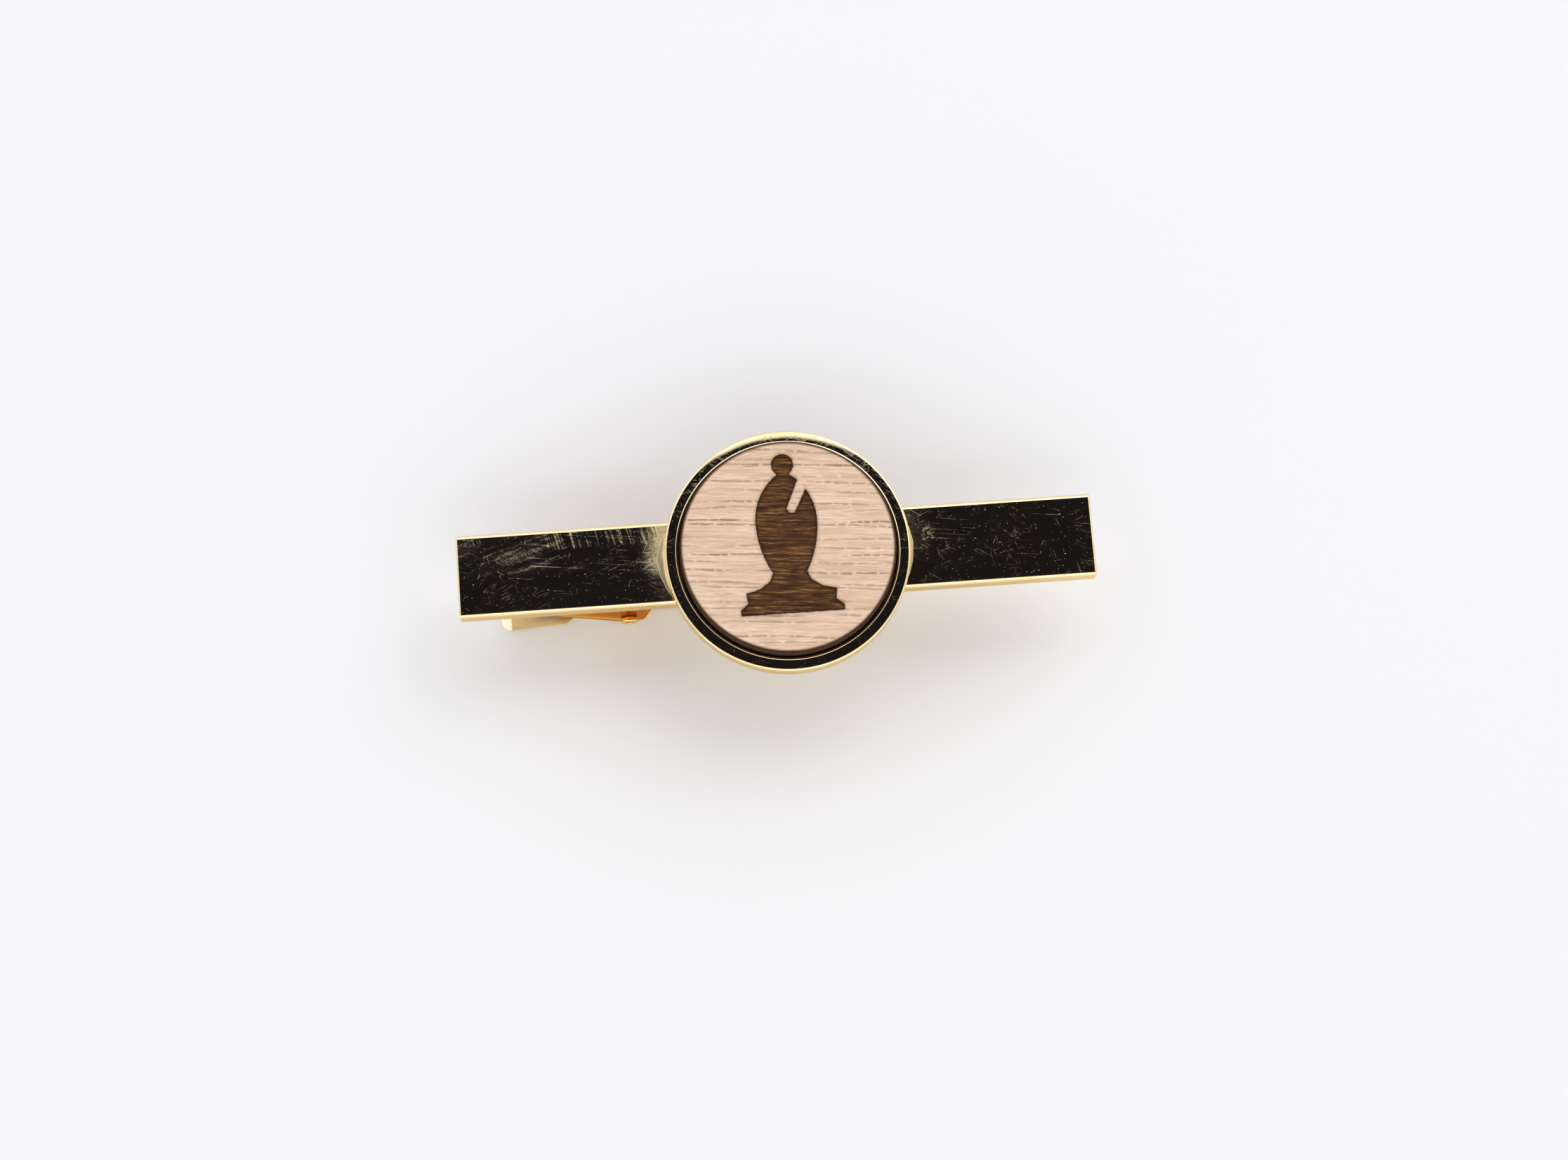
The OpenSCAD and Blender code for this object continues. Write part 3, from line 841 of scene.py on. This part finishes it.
# A tubular rivet turned round the hinge axis, with a head and a hollow at each end.
def makePin(shape):
    end, start = pinHigh[1], pinHigh[1] - shape["headLong"]
    bottom = end - shape["hollowDeep"]
    half = [(0, bottom), (shape["hollow"], bottom), (shape["hollow"], end), (shape["head"], end),
            (shape["head"], start), (shape["shank"], start)]
    corners = half + [(r, -h) for r, h in half[::-1]]
    radii = shape["rounds"] + shape["rounds"][::-1]
    section = roundedOutline(corners, radii, 5, shape["guard"])
    return lathe("tubular_hinge_pin", section, pinAxis * [1, 0, 1], "y", 96)


finishPiece(makePin(pinShape), "bar", "hinge_pin", stampedGold)


springShape = {
    "wire": 0.36,
    "coil": 0.9,
    "first": 266,           # degrees about the hinge axis
    "last": 1860,
    "pitch": 0.396,
    "tabLeg": 4.5,
    "stripLeg": 5.5,
    "legStart": 0.1,
    "endRound": 0.05,
    "endShare": 0.8,        # size of the wire's rounded end face
    "steps": (14, 200, 16),     # along one leg, the coils and the other leg
    "round": 14,
    "blendHalf": 0.8,       # the coils' twist is shared out over this far either side of the middle
}


# Round wire along a helix about the hinge axis, with a straight leg at each end that leaves along the
# helix's own tangent. Each ring of the wire is r (cos b up + sin b side), where side is the cross
# product of the tangent and the coil's radius. The ends are rounded and closed at a point.
def makeSpring(shape):
    before, coils, after = shape["steps"]
    a = np.radians(np.linspace(shape["first"], shape["last"], coils))
    turns = (a - a.mean()) / (2 * math.pi)
    coil = np.stack([shape["coil"] * np.cos(a), turns * shape["pitch"], shape["coil"] * np.sin(a)], -1)
    leave = np.stack([-np.sin(a), 0 * a, np.cos(a)], -1)
    tabLeg = coil[0] - leave[0] * np.linspace(shape["tabLeg"], shape["legStart"], before)[:, None]
    stripLeg = coil[-1] + leave[-1] * np.linspace(shape["legStart"], shape["stripLeg"], after)[:, None]
    path = np.concatenate([tabLeg, coil, stripLeg])
    radial = np.stack([np.cos(a), 0 * a, np.sin(a)], -1)
    radial = np.concatenate([np.repeat(radial[:1], before, 0), radial, np.repeat(radial[-1:], after, 0)])
    tangent = np.gradient(path, axis=0)
    tangent /= np.linalg.norm(tangent, axis=1)[:, None]
    side = np.cross(tangent, radial)
    side /= np.linalg.norm(side, axis=1)[:, None]
    up = np.cross(side, tangent)

    first, last = path[:1].copy(), path[-1:].copy()
    path[0] += tangent[0] * shape["endRound"]
    path[-1] -= tangent[-1] * shape["endRound"]
    share = np.concatenate([[0, shape["endShare"]], np.ones(len(path)), [shape["endShare"], 0]])
    path = np.concatenate([first, first, path, last, last])
    up, side = (np.concatenate([v[:1], v[:1], v, v[-1:], v[-1:]]) for v in (up, side))
    r = (share * shape["wire"] / 2)[:, None, None]
    b = np.linspace(0, 2 * math.pi, shape["round"], endpoint=False)[None, :, None]
    points = path[:, None] + r * (np.cos(b) * up[:, None] + np.sin(b) * side[:, None])
    return meshFromPatches("torsion_spring_wire", [(points + pinAxis * [1, 0, 1], False, True)])


spring = finishPiece(makeSpring(springShape), None, "torsion_spring", springSteel)
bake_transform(spring)
print("pin and spring made")


sheetShape = {
    "edge": 0.07,
    "steps": 2,
    "corner": 35,       # degrees; a sharper edge is rounded
    "flat": 1,          # degrees; faces that differ by less are joined up
    "weld": 0.002,
}


# A stamped part takes its CAD shape: the copy's doubles are merged, flat faces are joined up, and a
# small round runs along every edge.
def softenCopy(node, name):
    ob = frame["nodes"][node].copy()
    ob.data = ob.data.copy()
    ob.name = ob.data.name = name
    ob.data.materials.clear()
    bpy.context.collection.objects.link(ob)
    bm = bmesh.new()
    bm.from_mesh(ob.data)
    bmesh.ops.remove_doubles(bm, verts=bm.verts, dist=sheetShape["weld"] * mm)
    flat = math.radians(sheetShape["flat"])
    bmesh.ops.dissolve_limit(bm, angle_limit=flat, verts=bm.verts, edges=bm.edges)
    bmesh.ops.recalc_face_normals(bm, faces=bm.faces)
    bm.to_mesh(ob.data)
    bm.free()
    ob.data.polygons.foreach_set("use_smooth", np.ones(len(ob.data.polygons), bool))
    bevel = ob.modifiers.new("edge round", "BEVEL")
    bevel.width = sheetShape["edge"] * mm
    bevel.segments = sheetShape["steps"]
    bevel.limit_method = "ANGLE"
    bevel.angle_limit = math.radians(sheetShape["corner"])
    bevel.harden_normals = True
    return ob


finishPiece(softenCopy("clip_base", "clip_base_sheet"), "bar", "clip_base", baseGold)
finishPiece(softenCopy("clip_lever", "clip_lever_sheet"), "lever", "clip_lever", leverGold)
print("clip made")


studio = {
    "floorSize": 1.6,
    "floorColour": (0.86, 0.86, 0.865),
    "floorRough": 0.9,
    "floorGap": 0.02,           # millimetres under the clip
    "backSky": (1.4, 1.45, 1.6),
    "frontSky": (1.8, 1.77, 1.72),
    "sideSky": (1.15, 1.15, 1.15),
    "dark": (0.0115, 0.0112, 0.017),
    "brown": (0.36, 0.2, 0.14),
    # the dark opening's limits are sines of angles from the zenith
    "darkAcross": 0.46,
    "darkBack": 0.335,
    "darkFront": -0.46,
    "edgeSoft": 0.05,
    "backSoft": 0.03,
    "skyLap": 0.02,
    "brownWidth": (0.38, 0.1),  # where the border ends and where it is full, from the front limit
    "strength": 0.96,
    "lowest": 0.6,              # brightness at the horizon, as a share of the tent's
    "fadeTo": 0.6,
    "softbox": {"place": (0.35, 0.4, 0.55), "size": 0.5, "power": 0.9, "colour": (1, 0.985, 0.96)},
}


# A sheet of white paper in a white tent. The tent is open overhead on the camera's side, which is
# dark with a brown border in front, and the tent's light falls off towards the horizon. One softbox
# stands behind and to the right.
def makeStudio(setup):
    s = setup["floorSize"] / mm
    corners = np.array([[[-s, -s, 0], [s, -s, 0]], [[-s, s, 0], [s, s, 0]]], float)
    corners[..., 2] = leverLow[2] - setup["floorGap"]
    floor = meshFromPatches("paper_floor", [(corners, False, False)])
    mat, tree, shader = startMaterial("paper")
    shader.inputs["Base Color"].default_value = (*setup["floorColour"], 1)
    shader.inputs["Roughness"].default_value = setup["floorRough"]
    floor.data.materials.append(mat)

    world = bpy.data.worlds.new("studio")
    bpy.context.scene.world = world
    world.use_nodes = True
    tree = world.node_tree
    way = tree.nodes.new("ShaderNodeSeparateXYZ")
    tree.links.new(tree.nodes.new("ShaderNodeTexCoord").outputs["Generated"], way.inputs[0])
    x, y = way.outputs[0], way.outputs[1]
    soft, width = setup["edgeSoft"], setup["darkAcross"]
    across = remap(tree, calc(tree, "ABSOLUTE", x), width + soft, width)
    back, front = setup["darkBack"], setup["darkFront"]
    behind = remap(tree, y, back, back + setup["backSoft"])
    tent = blendColours(tree, behind, setup["sideSky"], setup["backSky"])
    inFront = remap(tree, y, front + setup["skyLap"], front - soft)
    tent = blendColours(tree, inFront, tent, setup["frontSky"])
    opening = remap(tree, y, front, front + soft)
    opening = calc(tree, "MULTIPLY", opening, calc(tree, "SUBTRACT", 1.0, behind))
    opening = calc(tree, "MULTIPLY", opening, across)
    low = remap(tree, way.outputs[2], 0.0, setup["fadeTo"], setup["lowest"], 1.0)
    shade = tree.nodes.new("ShaderNodeCombineColor")
    for socket in shade.inputs[:3]:
        tree.links.new(low, socket)
    tent = blendColours(tree, 1.0, tent, shade.outputs[0], "MULTIPLY")
    ends, full = setup["brownWidth"]
    border = remap(tree, y, front + ends, front + full)
    hole = blendColours(tree, border, setup["dark"], setup["brown"])
    background = tree.nodes["Background"]
    feed(tree, background.inputs["Color"], blendColours(tree, opening, tent, hole))
    background.inputs["Strength"].default_value = setup["strength"]

    box = setup["softbox"]
    light = bpy.data.lights.new("softbox", "AREA")
    light.size, light.energy, light.color = box["size"], box["power"], box["colour"]
    ob = bpy.data.objects.new("softbox", light)
    aim = (-Vector(box["place"])).to_track_quat("-Z", "Y").to_matrix().to_4x4()
    ob.matrix_world = Matrix.Translation(box["place"]) @ aim
    bpy.context.collection.objects.link(ob)
    bpy.context.scene.view_settings.view_transform = "Standard"


makeStudio(studio)
print("studio lit")
